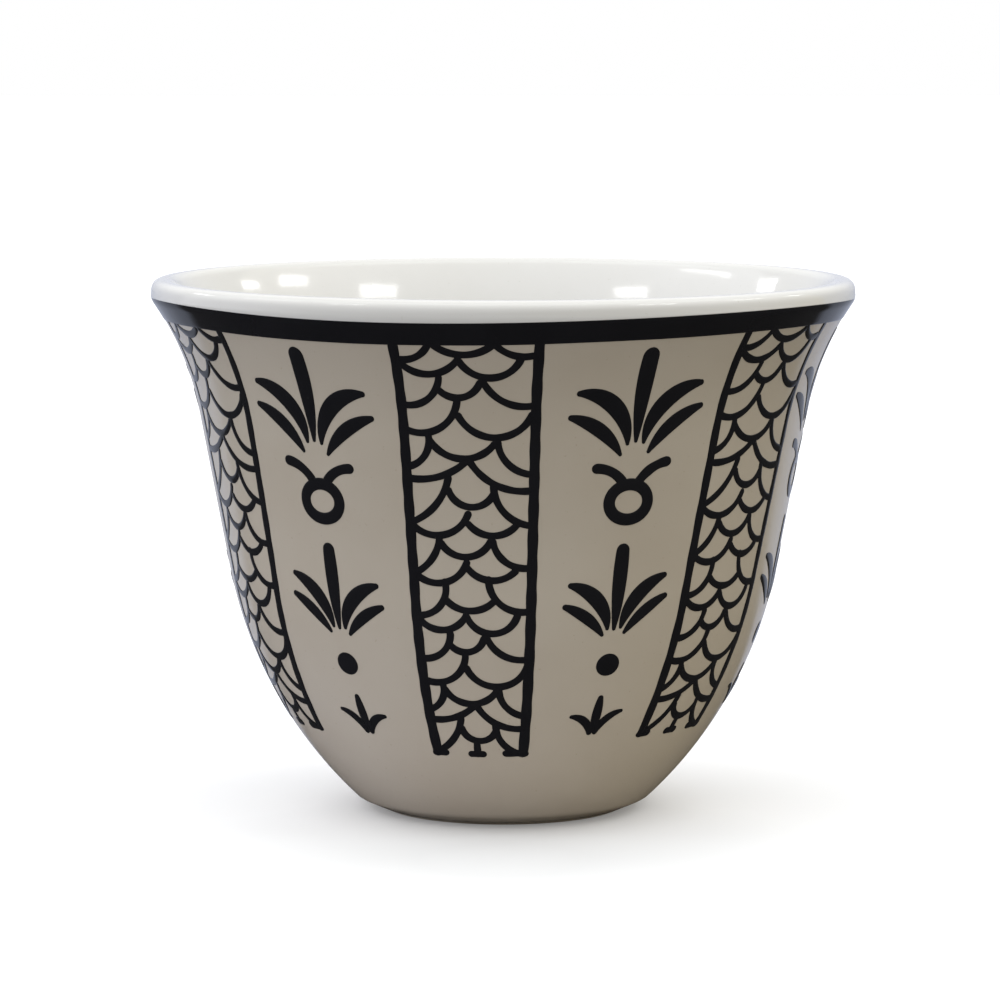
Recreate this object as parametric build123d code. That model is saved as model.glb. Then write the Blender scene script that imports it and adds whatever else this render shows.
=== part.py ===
from build123d import *
import os
from math import atan2, cos, degrees, radians, sin, sqrt

# An Arabic coffee cup: a small porcelain bowl with a low foot, a flared lip and no handle.
# Millimetres, +Z up, origin at the middle of the foot's underside. The front faces -Y.
# The fired body carries a white glaze inside and over the lip, a cream glaze outside,
# and raised black enamel on the cream: a band, six scale panels and six palmette columns.

# Driving dimensions of the form
height = 53.1  # table to the crest of the lip
rim_radius = 35.0  # widest point of the lip
wall = 2.8  # finished wall, both glazes included
lip_lean = 34.0  # degrees from upright where the flare runs into the lip
flare_radius = 29.0  # hollow curve under the lip
wall_lean = 10.6  # degrees from upright of the straight stretch
bowl_radius = 42.5  # full curve of the belly
foot_top_radius = 14.7  # where the belly turns under to the foot
foot_height = 1.2  # where the belly turns under, above the table
foot_radius = 12.0  # outer edge of the ring that the cup stands on
foot_ring_width = 2.4  # width of that ring
foot_edge_round = 0.3  # rounding of the ring's two edges
bare_foot = 0.3  # unglazed height above the table
recess_depth = 1.4  # hollow inside the foot ring
floor_height = 5.0  # inside floor above the table
floor_round = 8.0  # rounding from the inside floor to the wall

# Coats on the body
glaze = 0.25
enamel = 0.2
enamel_clearance = 0.01  # between the glaze and the enamel fired onto it

# Driving dimensions of the ornament
band_width = 2.25  # black band under the lip, along the wall
panels = 6  # scale panels around the cup, with a palmette column after each
front_turn = -6.2  # degrees from the front to the middle of the first panel
panel_half_angle = 12.7  # degrees from a panel's middle to its outer edge
upright_width = 1.0
upright_points = 9  # points that shape an upright's edge on the curved wall
scale_stroke = 0.72
panel_end = 42.9  # lower end of a panel
tendril_stroke = 1.0
ring_half_width = 2.6
ring_half_height = 2.3
ring_stroke = 1.2
bead_half_width = 1.22
bead_half_height = 1.13

# The drawn pattern: each point is (degrees from the middle, millimetres below the band).
# Drops run along the wall, and the drawing is stretched from the band to the foot.
pattern_length = 52.3
belly_share = 0.6  # a leaf is widest at this share of its length

# Drawn by hand, some motifs stray from their even places. By place: degrees round the cup as a whole
# and from band to foot, millimetres up at the band and at the foot, and millimetres up for each
# degree rightwards.
even_place = (0.0, 0.0, 0.0, 0.0, 0.0)
panel_strays = {
    1: (0.12, 0.0, -0.05, -0.1, 0.0),
    2: (-1.0, -7.6, 0.45, 1.75, 0.0),
    6: (1.35, 2.0, 0.45, 1.5, 0.0),
}
column_strays = {
    1: (0.2, -3.2, 0.15, 0.25, 0.03),
    2: (-4.0, -6.0, 0.15, 1.3, 0.0),
    6: (-0.12, 0.9, -0.1, -0.15, -0.03),
}
lean_pivot = 0.3  # share of the pattern's length at which a leaning motif stays in its place

# Ten rows of hanging arcs, each arc by its start, lowest stretch and end
scale_repeat = 25.5
repeat_squeeze = 0.945  # the repeated rows are drawn this much closer
scale_rows = [
    [[(-10.9, 1.7), (-7.1, 0.9), (-5.4, -1.9)], [(-5.3, 0.0), (-0.8, 1.1), (4.2, 0.1)],
     [(3.2, -2.2), (5.3, 0.3), (10.8, 1.2)]],
    [[(-11.0, 2.1), (-6.1, 3.2), (-1.5, 1.7)], [(-1.2, 1.8), (3.0, 3.5), (8.9, 1.6)]],
    [[(-11.0, 6.4), (-7.3, 5.9), (-4.8, 3.6)], [(-4.8, 4.9), (-1.6, 5.6), (2.1, 4.1)],
     [(2.8, 4.1), (5.6, 5.8), (11.1, 6.4)]],
    [[(-11.0, 8.9), (-6.2, 8.9), (-1.9, 5.9)], [(-1.8, 7.4), (3.9, 9.5), (11.1, 7.3)]],
    [[(-11.0, 12.4), (-8.1, 11.3), (-7.3, 9.4)], [(-7.0, 9.9), (-1.2, 11.6), (4.4, 10.2)],
     [(5.1, 10.0), (6.8, 12.0), (11.1, 13.1)]],
    [[(-11.0, 13.6), (-5.3, 13.3), (-0.7, 11.9)], [(0.2, 12.0), (3.6, 13.8), (11.1, 14.7)]],
    [[(-11.0, 17.8), (-7.0, 16.4), (-4.0, 13.5)], [(-4.0, 14.7), (0.0, 16.3), (4.2, 15.1)],
     [(4.3, 14.1), (5.6, 16.4), (11.0, 18.1)]],
    [[(-10.9, 18.3), (-5.8, 19.1), (-0.5, 17.0)], [(-0.4, 18.0), (3.9, 19.1), (8.5, 18.1)]],
    [[(-11.0, 22.8), (-7.7, 21.4), (-6.1, 19.3)], [(-5.8, 19.9), (-0.7, 21.2), (3.6, 19.7)],
     [(4.1, 19.7), (6.3, 21.6), (11.0, 22.3)]],
    [[(-10.9, 23.1), (-5.9, 23.8), (-1.0, 21.8)], [(-0.7, 22.4), (3.4, 23.5), (8.4, 22.6)]],
]
rows_repeated = 7  # rows drawn again below the ten
panel_feet = [
    [(-0.6, 41.0), (-0.6, 42.6)],
    [(-2.2, 42.6), (0.8, 42.6)],
    [(-11.8, 42.5), (-9.2, 42.5)],
    [(6.8, 42.5), (11.8, 42.5)],
]

# Leaves by the points of their midrib, then the widths of belly and tip; side leaves are mirrored
large_palmette_middle = ([(0.0, 10.3), (0.0, 1.7)], 1.7, 1.75)
large_palmette_sides = [
    ([(1.6, 10.5), (5.7, 6.3), (11.5, 5.1)], 1.7, 0.6),
    ([(2.8, 11.5), (7.8, 8.7), (12.6, 7.5)], 1.4, 0.6),
]
small_palmette_middle = ([(0.0, 28.9), (0.0, 21.1)], 1.5, 1.4)
small_palmette_sides = [
    ([(1.5, 28.8), (5.7, 25.2), (10.1, 24.1)], 1.5, 0.6),
    ([(2.5, 29.4), (7.4, 27.1), (10.9, 26.2)], 1.15, 0.6),
]
sprout_middle = ([(0.0, 40.5), (0.0, 36.5)], 1.0, 0.85)
sprout_sides = [([(-0.3, 40.5), (3.0, 39.0), (6.5, 38.15)], 1.1, 0.45)]
ring_middle = (0.0, 16.3)
tendril = [(1.8, 14.2), (4.3, 13.1), (7.0, 12.7)]
bead_middle = (0.0, 32.7)


def upward(lean):
    """The way up a side that leans out by this many degrees, as (radius, height)."""
    return Vector(sin(radians(lean)), cos(radians(lean)))


def outward(lean):
    """The way out of such a side, square to it."""
    return Vector(cos(radians(lean)), -sin(radians(lean)))


# The finished outline: lip, hollow flare, straight stretch and belly, each tangent to the next
lip_centre = Vector(rim_radius - wall / 2, height - wall / 2)
lip_root = lip_centre + outward(lip_lean) * (wall / 2)
flare_centre = lip_root + outward(lip_lean) * flare_radius
straight_top = flare_centre - outward(wall_lean) * flare_radius
foot_top = Vector(foot_top_radius, foot_height)
belly_inset = (straight_top - foot_top).dot(outward(wall_lean))
belly_rise = sqrt(belly_inset * (2 * bowl_radius - belly_inset))
straight_foot = foot_top + outward(wall_lean) * belly_inset + upward(wall_lean) * belly_rise
bowl_centre = straight_foot - outward(wall_lean) * bowl_radius
foot_lean = degrees(atan2(bowl_centre.Y - foot_top.Y, foot_top.X - bowl_centre.X))
band_lean = lip_lean - degrees(band_width / flare_radius)

# Depths of the enamel's two faces under the finished outside, so both are negative
enamel_back = -enamel_clearance
enamel_face = enamel_back - enamel

# The foot and the inside floor
foot_outer = Vector(foot_radius, 0)
recess_radius = foot_radius - foot_ring_width
foot_side_lean = degrees(atan2(foot_top_radius - foot_radius, foot_height))
glaze_end = foot_outer + (foot_top - foot_outer) * (bare_foot / foot_height)
glaze_end_inner = glaze_end - outward(foot_side_lean) * glaze
floor_reach = bowl_radius - wall - floor_round
floor_drop = bowl_centre.Y - floor_height - floor_round
floor_side = sqrt(floor_reach**2 - floor_drop**2)
floor_centre = Vector(bowl_centre.X + floor_side, floor_height + floor_round)
floor_lean = degrees(atan2(floor_drop, floor_side))


def bowl_at(depth, lean):
    """A point of the belly, this deep under the finished outside."""
    return bowl_centre + outward(lean) * (bowl_radius - depth)


def flare_at(depth, lean):
    """A point of the flare, this deep under the finished outside."""
    return flare_centre - outward(lean) * (flare_radius + depth)


def flare(depth, low, high):
    """Edge up the flare between two leans."""
    return ThreePointArc(
        flare_at(depth, low), flare_at(depth, (low + high) / 2), flare_at(depth, high)
    )


def side(depth, low, high=lip_lean):
    """Edges up the wall, from a lean on the belly to a lean on the flare."""
    belly = ThreePointArc(
        bowl_at(depth, low), bowl_at(depth, (low + wall_lean) / 2), bowl_at(depth, wall_lean)
    )
    straight = Line(bowl_at(depth, wall_lean), flare_at(depth, wall_lean))
    return [belly, straight, flare(depth, wall_lean, high)]


def inside(depth):
    """Edges from the axis along the inside floor, up its rounding and up the wall."""
    radius = floor_round + wall - depth
    floor_edge = floor_centre - Vector(0, radius)
    halfway = floor_centre + outward((floor_lean + 90) / 2) * radius
    floor = Line((0, floor_edge.Y), floor_edge)
    return [floor, ThreePointArc(floor_edge, halfway, bowl_at(depth, floor_lean))] + side(depth, floor_lean)


def lip(depth):
    """Edge over the rounded lip, from its outer to its inner root."""
    radius = wall / 2 - depth
    return ThreePointArc(
        lip_centre + outward(lip_lean) * radius,
        lip_centre + upward(lip_lean) * radius,
        lip_centre - outward(lip_lean) * radius,
    )


def turned(outline):
    """Solid of revolution of an outline drawn as (radius, height)."""
    return revolve(Plane.XZ * outline, Axis.Z)


def porcelain_body():
    ceiling = recess_depth + glaze
    foot = Polyline(
        bowl_at(glaze, foot_lean),
        glaze_end_inner,
        glaze_end,
        foot_outer,
        (recess_radius, 0),
        (recess_radius, ceiling),
        (0, ceiling),
        (0, floor_height - glaze),
    )
    outline = make_face(inside(wall - glaze) + [lip(glaze)] + side(glaze, foot_lean) + foot.edges())
    ring_edges = outline.vertices().group_by(Axis.Y)[0]
    return turned(fillet(ring_edges, foot_edge_round))


def interior_glaze():
    lip_end = Line(flare_at(0, lip_lean), flare_at(glaze, lip_lean))
    middle = Line((0, floor_height), (0, floor_height - glaze))
    faces = inside(wall) + inside(wall - glaze)
    return turned(make_face(faces + [lip(0), lip(glaze), lip_end, middle]))


def exterior_glaze():
    lip_end = Line(flare_at(0, lip_lean), flare_at(glaze, lip_lean))
    foot = Polyline(foot_top, glaze_end, glaze_end_inner, bowl_at(glaze, foot_lean))
    return turned(make_face(side(0, foot_lean) + side(glaze, foot_lean) + [lip_end] + foot.edges()))


def base_glaze():
    return Pos(0, 0, recess_depth + glaze / 2) * Cylinder(recess_radius, glaze)


def rim_band():
    faces = [flare(depth, band_lean, lip_lean) for depth in (enamel_back, enamel_face)]
    ends = [Line(flare_at(enamel_back, lean), flare_at(enamel_face, lean)) for lean in (band_lean, lip_lean)]
    return turned(make_face(faces + ends))


def enamel_field():
    """The whole coat of enamel under the band, from which each motif is cut out."""
    faces = side(enamel_back, foot_lean, band_lean) + side(enamel_face, foot_lean, band_lean)
    ends = [
        Line(bowl_at(enamel_back, foot_lean), bowl_at(enamel_face, foot_lean)),
        Line(flare_at(enamel_back, band_lean), flare_at(enamel_face, band_lean)),
    ]
    return turned(make_face(faces + ends))


flare_run = flare_radius * radians(band_lean - wall_lean)
straight_run = (straight_top - straight_foot).length
belly_run = bowl_radius * radians(foot_lean - wall_lean)
stretch = (flare_run + straight_run + belly_run) / pattern_length


def wall_point(drop):
    """Radius and height on the finished outside, this far below the band along the wall."""
    below_flare = drop - flare_run
    below_straight = below_flare - straight_run
    if below_flare <= 0:
        return flare_at(0, band_lean - degrees(drop / flare_radius))
    if below_straight <= 0:
        return straight_top - upward(wall_lean) * below_flare
    return bowl_at(0, wall_lean + degrees(below_straight / bowl_radius))


def drawn(angle, drop):
    """A point of the pattern, seen square to the motif's middle, as (across, height)."""
    point = wall_point(drop * stretch)
    return Vector(point.X * sin(radians(angle)), point.Y)


def path(points):
    """The arc through three points of the pattern, or the line between two."""
    places = [drawn(*point) for point in points]
    return Line(*places) if len(places) == 2 else ThreePointArc(*places)


def mirrored(points):
    return [(-angle, drop) for angle, drop in points]


def strayed(points, stray):
    """Pattern points moved round and up the cup as far as their motif strays."""
    shift, lean, rise_at_band, rise_at_foot, tilt = stray
    moved = []
    for angle, drop in points:
        share = drop / pattern_length
        rise = rise_at_band + (rise_at_foot - rise_at_band) * share + tilt * angle
        moved.append((angle + shift + lean * (share - lean_pivot), drop - rise))
    return moved


def stroke(points, width):
    return SlotArc(path(points), width)


def leaf(points, belly, tip):
    """A leaf on its midrib: pointed at the base, widest past the middle, rounded at the tip."""
    rib = path(points)
    across_belly = (rib % belly_share).rotate(Axis.Z, 90) * (belly / 2)
    across_tip = (rib % 1).rotate(Axis.Z, 90) * (tip / 2)
    belly_middle = rib @ belly_share
    nose = rib @ 1 + (rib % 1) * (tip / 2)
    left = ThreePointArc(rib @ 0, belly_middle + across_belly, rib @ 1 + across_tip)
    cap = ThreePointArc(rib @ 1 + across_tip, nose, rib @ 1 - across_tip)
    right = ThreePointArc(rib @ 1 - across_tip, belly_middle - across_belly, rib @ 0)
    return make_face([left, cap, right])


def leaves(middle, sides, stray):
    """The middle leaf and each side leaf with its mirror image."""
    both = [middle] + sides + [(mirrored(points), belly, tip) for points, belly, tip in sides]
    return [leaf(strayed(points, stray), belly, tip) for points, belly, tip in both]


def upright(sign, stray):
    """One edge of a panel: a bar of even width along the meridian."""
    drops = [panel_end * step / (upright_points - 1) for step in range(upright_points)]
    edge = [(sign * panel_half_angle, drop) for drop in drops]
    outer = [drawn(*point) for point in strayed(edge, stray)]
    inner = [point - Vector(sign * upright_width, 0) for point in outer]
    ends = [Line(outer[0], inner[0]), Line(outer[-1], inner[-1])]
    return make_face([Spline(outer), Spline(inner)] + ends)


def scale_panel(stray):
    again = [
        [[(angle, scale_repeat + drop * repeat_squeeze) for angle, drop in arc] for arc in row]
        for row in scale_rows[:rows_repeated]
    ]
    arcs = [arc for row in scale_rows + again for arc in row] + panel_feet
    strokes = [stroke(strayed(points, stray), scale_stroke) for points in arcs]
    return [upright(1, stray), upright(-1, stray)] + strokes


def ring_tendrils(stray):
    centre = Pos(drawn(*strayed([ring_middle], stray)[0]))
    ring = Ellipse(ring_half_width, ring_half_height)
    hole = Ellipse(ring_half_width - ring_stroke, ring_half_height - ring_stroke)
    stems = [stroke(strayed(points, stray), tendril_stroke) for points in (tendril, mirrored(tendril))]
    return [centre * (ring - hole)] + stems


def bead(stray):
    centre = Pos(drawn(*strayed([bead_middle], stray)[0]))
    return [centre * Ellipse(bead_half_width, bead_half_height)]


field = enamel_field()


def raised(faces):
    """Enamel of one motif on the front of the cup, facing -Y."""
    outline = Sketch() + faces
    return extrude(Plane.XZ * outline, rim_radius - enamel_face) & field


def palmette_column(stray):
    """The motifs of one column by the names of their nodes, from the band down."""
    return {
        "large_palmette": raised(leaves(large_palmette_middle, large_palmette_sides, stray)),
        "ring_tendrils": raised(ring_tendrils(stray)),
        "small_palmette": raised(leaves(small_palmette_middle, small_palmette_sides, stray)),
        "bead": raised(bead(stray)),
        "sprout": raised(leaves(sprout_middle, sprout_sides, stray)),
    }


def save(node, shape):
    export_step(shape, os.path.join("parts", node + ".step"))


os.makedirs("parts", exist_ok=True)
save("porcelain_body", porcelain_body())
save("interior_glaze", interior_glaze())
save("exterior_glaze", exterior_glaze())
save("base_glaze", base_glaze())
save("rim_band", rim_band())

even_panel = raised(scale_panel(even_place))
even_column = palmette_column(even_place)
for place in range(1, panels + 1):
    panel_turn = front_turn + (place - 1) * 360 / panels
    column_turn = panel_turn + 180 / panels
    panel = raised(scale_panel(panel_strays[place])) if place in panel_strays else even_panel
    column = palmette_column(column_strays[place]) if place in column_strays else even_column
    save(f"scale_panel_{place}", Rot(0, 0, panel_turn) * panel)
    for name, motif in column.items():
        save(f"{name}_{place}", Rot(0, 0, column_turn) * motif)
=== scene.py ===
from math import atan2, degrees, pi, radians, sqrt

import bpy
import numpy as np
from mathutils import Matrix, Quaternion, Vector


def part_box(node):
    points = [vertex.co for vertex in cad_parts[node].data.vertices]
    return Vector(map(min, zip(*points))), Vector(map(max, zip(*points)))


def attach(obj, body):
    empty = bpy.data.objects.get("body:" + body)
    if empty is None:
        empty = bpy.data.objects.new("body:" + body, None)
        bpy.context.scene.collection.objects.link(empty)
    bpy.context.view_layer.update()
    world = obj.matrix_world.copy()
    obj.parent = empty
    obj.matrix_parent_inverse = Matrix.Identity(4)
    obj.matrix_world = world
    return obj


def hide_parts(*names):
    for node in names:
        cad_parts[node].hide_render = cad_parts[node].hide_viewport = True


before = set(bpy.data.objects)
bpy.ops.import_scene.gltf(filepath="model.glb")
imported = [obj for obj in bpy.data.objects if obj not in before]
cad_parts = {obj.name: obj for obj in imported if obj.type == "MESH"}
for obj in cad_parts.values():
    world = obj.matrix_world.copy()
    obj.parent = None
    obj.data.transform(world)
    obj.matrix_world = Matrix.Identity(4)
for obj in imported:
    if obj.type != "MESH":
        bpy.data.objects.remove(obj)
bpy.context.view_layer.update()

MM = 0.001  # the cup's sizes are in millimetres and degrees, the stage's and the finishes' in metres

# Sizes of the cup's form, the same as the solids'
_, LIP_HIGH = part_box("interior_glaze")
HEIGHT = LIP_HIGH.z / MM
RIM_RADIUS = LIP_HIGH.x / MM
WALL = 2.8
LIP_LEAN = 34.0
FLARE_RADIUS = 29.0
WALL_LEAN = 10.6
BOWL_RADIUS = 42.5
FOOT_TOP = np.array([14.7, 1.2])
FOOT_OUTER = np.array([12.0, 0.0])
FOOT_RING_WIDTH = 2.4
FOOT_EDGE_ROUND = 0.3
BARE_FOOT = 0.3
RECESS_DEPTH = 1.4
BOWL_FLOOR_HEIGHT = 5.0
BOWL_FLOOR_ROUND = 8.0
GLAZE = 0.25

# Edges of the glazes, which the solids don't have
HEM_DROP = 0.12  # the cream glaze's lower edge bulges this far down
POOL_ROUND = 0.5  # the glaze in the recess curves down its wall by this radius

# Sizes of the enamel
BAND_WIDTH = 2.25
BAND_RISE = 0.07
BAND_FLATNESS = 0.3  # power of the sine that is the dome's section: 1 is a half ellipse, 0 is flat
BAND_UNDERSIDE = 0.95  # width of the underside as a share of the whole
LINE_RISE = 0.06
LEAF_RISE = 0.08
LEAF_THINNEST = 0.02  # width of a leaf at its ends, as a share of its greatest, for the dome's height
STROKE_FLATNESS = 0.7
STROKE_UNDERSIDE = 0.85
SUNK = 0.05  # the enamel's underside lies this deep in the glaze
PANELS = 6
FRONT_TURN = -6.2
PANEL_HALF_ANGLE = 12.7
UPRIGHT_WIDTH = 1.0
SCALE_STROKE = 0.72
PANEL_END = 42.9
TENDRIL_STROKE = 1.0
RING_HALF_WIDTH = 2.6
RING_HALF_HEIGHT = 2.3
RING_STROKE = 1.2
BEAD_HALF_WIDTH = 1.22
BEAD_HALF_HEIGHT = 1.13
PATTERN_LENGTH = 52.3  # from the band down to the foot, as drawn
BELLY_SHARE = 0.6  # where along a leaf its belly is
LEAF_BASE = 0.2  # half widths of the leaves where they start
SPROUT_BASE = 0.28

# Drawn by hand, some motifs stray from their even places. By place: degrees round the cup as a whole
# and from band to foot, millimetres up at the band and at the foot, and millimetres up for each
# degree rightwards. One panel also bends at its foot, by degrees that grow with the cube of the drop.
EVEN_PLACE = (0.0, 0.0, 0.0, 0.0, 0.0, 0.0)
PANEL_STRAYS = {
    1: (0.12, 0.0, -0.05, -0.1, 0.0, 0.0),
    2: (-1.0, -7.6, 0.45, 1.75, 0.0, 0.0),
    6: (1.35, 2.0, 0.45, 1.5, 0.0, -6.0),
}
COLUMN_STRAYS = {
    1: (0.2, -3.2, 0.15, 0.25, 0.03, 0.0),
    2: (-4.0, -6.0, 0.15, 1.3, 0.0, 0.0),
    6: (-0.12, 0.9, -0.1, -0.15, -0.03, 0.0),
}
LEAN_PIVOT = 0.3  # share of the pattern's length at which a leaning motif keeps its place
BEND_POWER = 3

# Lines swell along their length by a sine: share of the width, and the spread of its pace and start
SWELL = 0.05
SWELL_PACE = (1.5, 3.0)
SWELL_START = (0.0, 6.0)

# The band's waves around the cup: number of waves, millimetres, degrees from the front to a crest
BAND_RAISED = 0.155
BAND_WAVES = [(1, 0.22, 81.0), (3, 0.29, 148.0), (5, 0.04, 21.0)]
BAND_TOP_RAISED = 0.375
BAND_TOP_WAVES = BAND_WAVES + [(1, 0.14, -70.0)]
BAND_WANDER = 0.03  # and a finer wobble of its lower edge
WANDER_TURNS = (2, 3, 5, 9, 14)

# The drawn pattern: each point is (degrees from the middle, millimetres below the band)
SCALE_REPEAT = 25.5
REPEAT_SQUEEZE = 0.945
SCALE_ROWS = [
    [[(-10.9, 1.7), (-7.1, 0.9), (-5.4, -1.9)], [(-5.3, 0.0), (-0.8, 1.1), (4.2, 0.1)],
     [(3.2, -2.2), (5.3, 0.3), (10.8, 1.2)]],
    [[(-11.0, 2.1), (-6.1, 3.2), (-1.5, 1.7)], [(-1.2, 1.8), (3.0, 3.5), (8.9, 1.6)]],
    [[(-11.0, 6.4), (-7.3, 5.9), (-4.8, 3.6)], [(-4.8, 4.9), (-1.6, 5.6), (2.1, 4.1)],
     [(2.8, 4.1), (5.6, 5.8), (11.1, 6.4)]],
    [[(-11.0, 8.9), (-6.2, 8.9), (-1.9, 5.9)], [(-1.8, 7.4), (3.9, 9.5), (11.1, 7.3)]],
    [[(-11.0, 12.4), (-8.1, 11.3), (-7.3, 9.4)], [(-7.0, 9.9), (-1.2, 11.6), (4.4, 10.2)],
     [(5.1, 10.0), (6.8, 12.0), (11.1, 13.1)]],
    [[(-11.0, 13.6), (-5.3, 13.3), (-0.7, 11.9)], [(0.2, 12.0), (3.6, 13.8), (11.1, 14.7)]],
    [[(-11.0, 17.8), (-7.0, 16.4), (-4.0, 13.5)], [(-4.0, 14.7), (0.0, 16.3), (4.2, 15.1)],
     [(4.3, 14.1), (5.6, 16.4), (11.0, 18.1)]],
    [[(-10.9, 18.3), (-5.8, 19.1), (-0.5, 17.0)], [(-0.4, 18.0), (3.9, 19.1), (8.5, 18.1)]],
    [[(-11.0, 22.8), (-7.7, 21.4), (-6.1, 19.3)], [(-5.8, 19.9), (-0.7, 21.2), (3.6, 19.7)],
     [(4.1, 19.7), (6.3, 21.6), (11.0, 22.3)]],
    [[(-10.9, 23.1), (-5.9, 23.8), (-1.0, 21.8)], [(-0.7, 22.4), (3.4, 23.5), (8.4, 22.6)]],
]
ROWS_REPEATED = 7
PANEL_FEET = [
    [(-0.6, 41.0), (-0.6, 42.6)],
    [(-2.2, 42.6), (0.8, 42.6)],
    [(-11.8, 42.5), (-9.2, 42.5)],
    [(6.8, 42.5), (11.8, 42.5)],
]

# Leaves by the points of their midrib, then the widths of belly and tip; side leaves are mirrored
LARGE_PALMETTE = [
    ([(0.0, 10.3), (0.0, 1.7)], 1.7, 1.75),
    ([(1.6, 10.5), (5.7, 6.3), (11.5, 5.1)], 1.7, 0.6),
    ([(2.8, 11.5), (7.8, 8.7), (12.6, 7.5)], 1.4, 0.6),
]
SMALL_PALMETTE = [
    ([(0.0, 28.9), (0.0, 21.1)], 1.5, 1.4),
    ([(1.5, 28.8), (5.7, 25.2), (10.1, 24.1)], 1.5, 0.6),
    ([(2.5, 29.4), (7.4, 27.1), (10.9, 26.2)], 1.15, 0.6),
]
SPROUT = [
    ([(0.0, 40.2), (0.0, 36.4)], 1.0, 0.6),
    ([(0.75, 40.45), (2.85, 38.95), (6.3, 38.25)], 0.8, 0.4),
]
RING_MIDDLE = (0.0, 16.3)
TENDRIL = [(1.8, 14.2), (4.3, 13.1), (7.0, 12.7)]
BEAD_MIDDLE = (0.0, 32.7)

# Fineness of the surfaces: millimetres from point to point
PROFILE_STEP = 0.4
BODY_STEP = 1.2
UNDERSIDE_STEP = 1.5
POOL_STEP = 1.0
LIP_STEP = 0.12
OUTLINE_STEP = 0.1
WALL_STEP = 0.05
STROKE_STEP = 0.16

# Numbers of points: around the cup, along the lines of its profile and along the ornament's
AROUND = 320
SIDE_POINTS = 64
BOWL_FLOOR_POINTS = 40
LIP_POINTS = 48
CREST_POINTS = 60
GATHER_POINTS = 24
ROUND_POINTS = 6
HEM_POINTS = 8
BAND_POINTS = 21
DOME_POINTS = 11
CAP_POINTS = 7
LINE_POINTS = 60
BEAD_POINTS = 25
RING_POINTS = 72
POOL_START = 2.0  # radius of the first ring around the middle of the recess
CAP_ANGLE = 86.0  # round ends stop a little short of a quarter circle, so that they keep a width

# Edges between faces that meet at more than these degrees stay sharp
BODY_SHARP = 35
COAT_SHARP = 60
POOL_SHARP = 50

rng = np.random.default_rng(seed=11)


def upward(lean):
    """Unit (radius, height) step up a side that leans out by lean degrees: (sin, cos)."""
    lean = np.radians(lean)
    return np.stack([np.sin(lean), np.cos(lean)], axis=-1)


def outward(lean):
    """Unit (radius, height) step square out of such a side: (cos, -sin)."""
    lean = np.radians(lean)
    return np.stack([np.cos(lean), -np.sin(lean)], axis=-1)


# The finished outline: lip, flare, straight stretch and belly, each tangent to the next
LIP_CENTRE = np.array([RIM_RADIUS - WALL / 2, HEIGHT - WALL / 2])
LIP_ROOT = LIP_CENTRE + outward(LIP_LEAN) * WALL / 2
FLARE_CENTRE = LIP_ROOT + outward(LIP_LEAN) * FLARE_RADIUS
STRAIGHT_TOP = FLARE_CENTRE - outward(WALL_LEAN) * FLARE_RADIUS
BELLY_INSET = float((STRAIGHT_TOP - FOOT_TOP) @ outward(WALL_LEAN))
BELLY_RISE = sqrt(BELLY_INSET * (2 * BOWL_RADIUS - BELLY_INSET))
STRAIGHT_FOOT = FOOT_TOP + outward(WALL_LEAN) * BELLY_INSET + upward(WALL_LEAN) * BELLY_RISE
BOWL_CENTRE = STRAIGHT_FOOT - outward(WALL_LEAN) * BOWL_RADIUS
FOOT_LEAN = degrees(atan2(BOWL_CENTRE[1] - FOOT_TOP[1], FOOT_TOP[0] - BOWL_CENTRE[0]))
BAND_LEAN = LIP_LEAN - degrees(BAND_WIDTH / FLARE_RADIUS)
RECESS_RADIUS = FOOT_OUTER[0] - FOOT_RING_WIDTH
FOOT_SIDE_LEAN = degrees(atan2(FOOT_TOP[0] - FOOT_OUTER[0], FOOT_TOP[1] - FOOT_OUTER[1]))
GLAZE_END = FOOT_OUTER + (FOOT_TOP - FOOT_OUTER) * (BARE_FOOT / FOOT_TOP[1])
BOWL_FLOOR_REACH = BOWL_RADIUS - WALL - BOWL_FLOOR_ROUND
BOWL_FLOOR_DROP = BOWL_CENTRE[1] - BOWL_FLOOR_HEIGHT - BOWL_FLOOR_ROUND
BOWL_FLOOR_SIDE = sqrt(BOWL_FLOOR_REACH**2 - BOWL_FLOOR_DROP**2)
BOWL_FLOOR_CENTRE = np.array([BOWL_CENTRE[0] + BOWL_FLOOR_SIDE, BOWL_FLOOR_HEIGHT + BOWL_FLOOR_ROUND])
BOWL_FLOOR_LEAN = degrees(atan2(BOWL_FLOOR_DROP, BOWL_FLOOR_SIDE))


def even(points, step=PROFILE_STEP):
    """The same line with points at even distances along it, about one step apart."""
    points = np.asarray(points, float)
    run = np.concatenate([[0.0], np.cumsum(np.linalg.norm(np.diff(points, axis=0), axis=1))])
    places = np.linspace(0.0, run[-1], max(2, int(np.ceil(run[-1] / step)) + 1))
    return np.stack([np.interp(places, run, points[:, k]) for k in range(points.shape[1])], axis=-1)


def belly(depth, leans):
    """Points of the belly's arc, this deep under the outside: centre + outward * (radius - depth)."""
    return BOWL_CENTRE + outward(leans) * (BOWL_RADIUS - np.asarray(depth)[..., None])


def flare(depth, leans):
    """Points of the flare's arc, this deep under the outside: centre - outward * (radius + depth)."""
    return FLARE_CENTRE - outward(leans) * (FLARE_RADIUS + np.asarray(depth)[..., None])


def side(depth, low):
    """The wall from a lean on the belly up to the lip's root: an arc, a line and an arc."""
    depth = np.full(SIDE_POINTS, float(depth))
    return np.concatenate([
        belly(depth, np.linspace(low, WALL_LEAN, SIDE_POINTS)),
        flare(depth, np.linspace(WALL_LEAN, LIP_LEAN, SIDE_POINTS)),
    ])


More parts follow.
